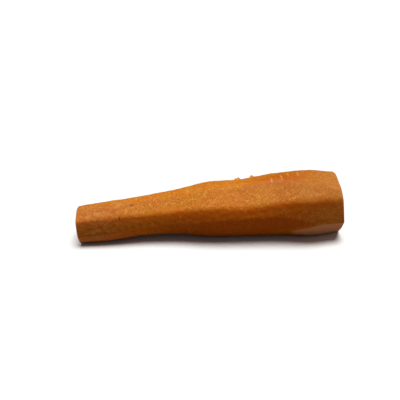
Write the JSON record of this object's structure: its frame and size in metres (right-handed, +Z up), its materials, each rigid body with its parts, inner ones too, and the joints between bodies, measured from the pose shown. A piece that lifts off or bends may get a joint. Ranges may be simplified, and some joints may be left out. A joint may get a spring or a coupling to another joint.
{
  "type": "carrot",
  "caption": "Peeled carrot root with both ends cut off, tapering from a thick crown end to a thin tip end, lying on its side on flat peeled spots.",
  "frame": {"origin": "on the surface that the carrot lies on, under the middle of its bounding box", "axes": "+X along the carrot from the thin tip end to the thick crown end, -Y towards the viewer, +Z up"},
  "size_m": [0.1628, 0.0406, 0.039],
  "materials": {
    "carrot_flesh": "satin"
  },
  "bodies": {
    "root": {"carrot": "carrot_flesh"}
  },
  "joints": []
}
